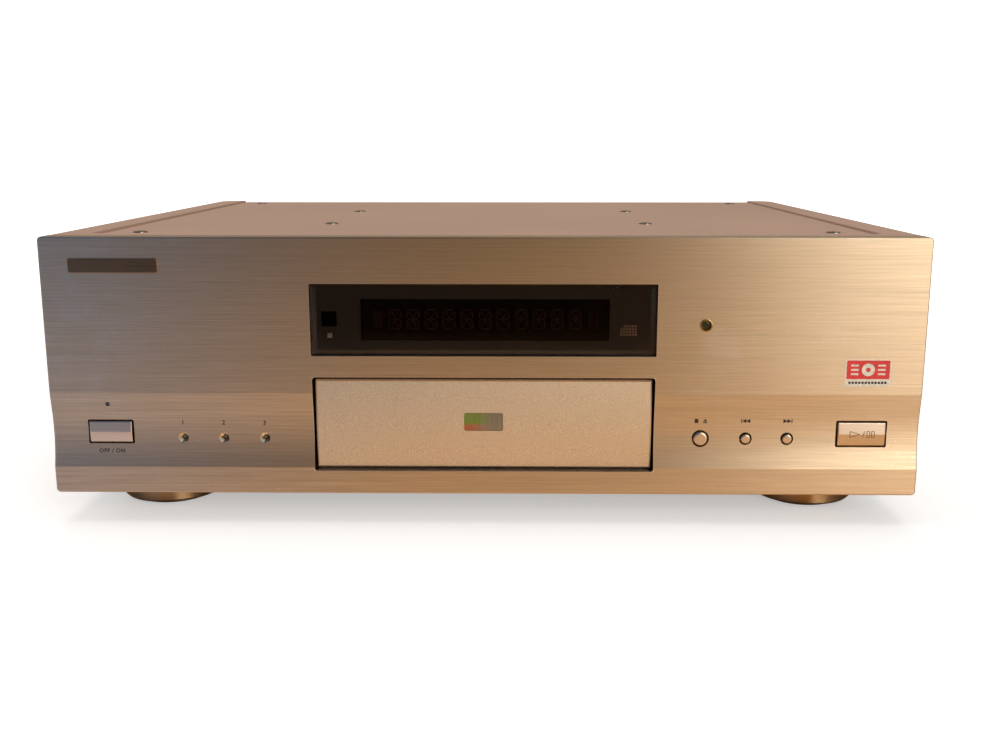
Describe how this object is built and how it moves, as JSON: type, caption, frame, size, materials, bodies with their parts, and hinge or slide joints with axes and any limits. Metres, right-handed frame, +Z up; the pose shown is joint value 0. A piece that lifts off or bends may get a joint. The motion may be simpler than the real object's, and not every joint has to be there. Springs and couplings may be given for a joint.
{
  "type": "dvd player",
  "caption": "Full-size hi-fi DVD player: brushed champagne front, smoked display window, motorised disc tray, push buttons, turned round feet and rear sockets.",
  "frame": {"origin": "bottom centre of the whole player, on the surface it stands on", "axes": "+X to the player's right as seen from the front, +Y to the back, +Z up; the disc tray opens along -Y"},
  "size_m": [0.42, 0.3532, 0.1406],
  "materials": {
    "champagne_panel": "fine horizontal brushing, champagne gold anodised",
    "button_metal": "fine brushed champagne anodised",
    "door_metal": "bead-blasted champagne anodised",
    "smoked_acrylic": "smoked transparent, polished bevels",
    "vfd_glass": "dark glass",
    "black_plastic": "fine moulded texture",
    "loader_plastic": "moulded",
    "tray_plastic": "fine moulded texture",
    "gear_plastic": "acetal",
    "pcb": "green solder mask",
    "switch_plastic": "moulded",
    "sensor_lens": "dark filter",
    "red_led": "diffused",
    "green_led": "clear tinted",
    "gold_trim": "polished",
    "name_plate_metal": "polished gold plate",
    "taupe_paint": "fine textured paint",
    "plain_steel": "zinc plated",
    "rear_paint": "fine textured paint",
    "screw_steel": "bronzed",
    "foot_gold": "turned, gold anodised",
    "foot_rubber": "matte",
    "belt_rubber": "matte",
    "badge_foil": "iridescent foil",
    "motor_steel": "drawn can",
    "sled_metal": "die cast",
    "rod_steel": "ground",
    "lens_glass": "coated",
    "clamper_plastic": "moulded",
    "transformer_steel": "varnished laminations",
    "capacitor_sleeve": "shrink sleeve",
    "heat_sink_black": "black anodised",
    "rca_gold": "gold plated",
    "socket_plastic": "moulded"
  },
  "bodies": {
    "root": {"front_panel": "champagne_panel", "display_window": "smoked_acrylic", "vfd_display": "vfd_glass", "remote_sensor": "sensor_lens", "front_frame": "black_plastic", "front_board": "pcb", "tact_switches": "switch_plastic", "standby_led": "red_led", "status_leds": "green_led", "indicator_ring": "gold_trim", "indicator_lens": "green_led", "name_plate": "name_plate_metal", "left_side_panel": "taupe_paint", "right_side_panel": "taupe_paint", "top_front_strip": "taupe_paint", "top_plate": "taupe_paint", "top_screws": "screw_steel", "rear_panel": "rear_paint", "rear_screws": "screw_steel", "bottom_pan": "plain_steel", "chassis_beams": "plain_steel", "feet": "foot_gold", "foot_pads": "foot_rubber", "foot_screws": "screw_steel", "loader_chassis": "loader_plastic", "clamp_bridge": "plain_steel", "loading_motor": "motor_steel", "drive_belt": "belt_rubber", "power_transformer": "transformer_steel", "power_board": "pcb", "power_capacitors": "capacitor_sleeve", "heat_sink": "heat_sink_black", "main_board": "pcb", "audio_board": "pcb", "rca_sockets": "rca_gold", "s_video_sockets": "socket_plastic", "mains_inlet": "socket_plastic"},
    "tray": {"tray": "tray_plastic", "tray_door": "door_metal", "door_badge": "badge_foil", "door_screws": "screw_steel"},
    "drive_gear": {"drive_gear": "gear_plastic"},
    "pulley_gear": {"pulley_gear": "gear_plastic"},
    "motor_pulley": {"motor_pulley": "gear_plastic"},
    "cam_slider": {"cam_slider": "gear_plastic"},
    "traverse": {"traverse_plate": "plain_steel", "guide_rods": "rod_steel", "spindle_motor": "motor_steel", "sled_motor": "motor_steel"},
    "turntable": {"turntable": "clamper_plastic"},
    "clamper": {"clamper": "clamper_plastic"},
    "sled": {"pickup_sled": "sled_metal"},
    "lens": {"objective_lens": "lens_glass"},
    "sled_gear": {"sled_gear": "gear_plastic"},
    "sled_motor_gear": {"sled_motor_gear": "gear_plastic"},
    "power_button": {"power_button": "button_metal"},
    "stop_eject_button": {"stop_eject_button": "button_metal"},
    "previous_button": {"previous_button": "button_metal"},
    "next_button": {"next_button": "button_metal"},
    "play_button": {"play_button": "button_metal"}
  },
  "joints": [
    {"name": "tray_slide", "type": "slide", "parent": "root", "child": "tray", "axis": [0, -1, 0], "range_m": [0, 0.15]},
    {"name": "drive_gear_turn", "type": "hinge", "parent": "root", "child": "drive_gear", "pos_m": [-0.047, -0.13395, 0.0405], "axis": [0, 0, 1], "range_deg": [0, 1230]},
    {"name": "pulley_gear_turn", "type": "hinge", "parent": "root", "child": "pulley_gear", "pos_m": [-0.0278, -0.13395, 0.0355], "axis": [0, 0, 1], "range_deg": [-3690, 0]},
    {"name": "motor_pulley_turn", "type": "hinge", "parent": "root", "child": "motor_pulley", "pos_m": [0.015, -0.13395, 0.0315], "axis": [0, 0, 1], "range_deg": [-11850, 0]},
    {"name": "traverse_lift", "type": "hinge", "parent": "root", "child": "traverse", "pos_m": [0, 0.02405, 0.0425], "axis": [1, 0, 0], "range_deg": [0, 6]},
    {"name": "cam_slide", "type": "slide", "parent": "root", "child": "cam_slider", "axis": [1, 0, 0], "range_m": [0, 0.0241]},
    {"name": "turntable_spin", "type": "hinge", "parent": "traverse", "child": "turntable", "pos_m": [0, -0.08995, 0.0535], "axis": [0, 0, 1], "continuous": true},
    {"name": "clamper_spin", "type": "hinge", "parent": "root", "child": "clamper", "pos_m": [0, -0.08995, 0.0615], "axis": [0, 0, 1], "continuous": true},
    {"name": "sled_slide", "type": "slide", "parent": "traverse", "child": "sled", "axis": [0, 1, 0], "range_m": [0, 0.036]},
    {"name": "sled_gear_turn", "type": "hinge", "parent": "traverse", "child": "sled_gear", "pos_m": [-0.0396, -0.03465, 0.0355], "axis": [0, 0, 1], "range_deg": [0, 370]},
    {"name": "sled_motor_turn", "type": "hinge", "parent": "traverse", "child": "sled_motor_gear", "pos_m": [-0.0504, -0.02178, 0.0345], "axis": [0, 0, 1], "range_deg": [-925, 0]},
    {"name": "lens_focus", "type": "slide", "parent": "sled", "child": "lens", "axis": [0, 0, 1], "range_m": [-0.0005, 0.0005], "stiffness_N_per_m": 40},
    {"name": "power_press", "type": "slide", "parent": "root", "child": "power_button", "axis": [0, 1, 0], "range_m": [0, 0.001], "stiffness_N_per_m": 400, "springref_m": -0.001},
    {"name": "stop_eject_press", "type": "slide", "parent": "root", "child": "stop_eject_button", "axis": [0, 1, 0], "range_m": [0, 0.001], "stiffness_N_per_m": 400, "springref_m": -0.001},
    {"name": "previous_press", "type": "slide", "parent": "root", "child": "previous_button", "axis": [0, 1, 0], "range_m": [0, 0.001], "stiffness_N_per_m": 400, "springref_m": -0.001},
    {"name": "next_press", "type": "slide", "parent": "root", "child": "next_button", "axis": [0, 1, 0], "range_m": [0, 0.001], "stiffness_N_per_m": 400, "springref_m": -0.001},
    {"name": "play_press", "type": "slide", "parent": "root", "child": "play_button", "axis": [0, 1, 0], "range_m": [0, 0.001], "stiffness_N_per_m": 400, "springref_m": -0.001}
  ],
  "couplings": [
    {"joint": "drive_gear_turn", "follows": "tray_slide", "rad_per_m": 142.86},
    {"joint": "pulley_gear_turn", "follows": "tray_slide", "rad_per_m": -428.57},
    {"joint": "motor_pulley_turn", "follows": "tray_slide", "rad_per_m": -1377.6},
    {"joint": "cam_slide", "follows": "traverse_lift", "m_per_rad": 0.22918},
    {"joint": "clamper_spin", "follows": "turntable_spin", "ratio": 1},
    {"joint": "sled_gear_turn", "follows": "sled_slide", "rad_per_m": 178.57},
    {"joint": "sled_motor_turn", "follows": "sled_slide", "rad_per_m": -446.43}
  ]
}
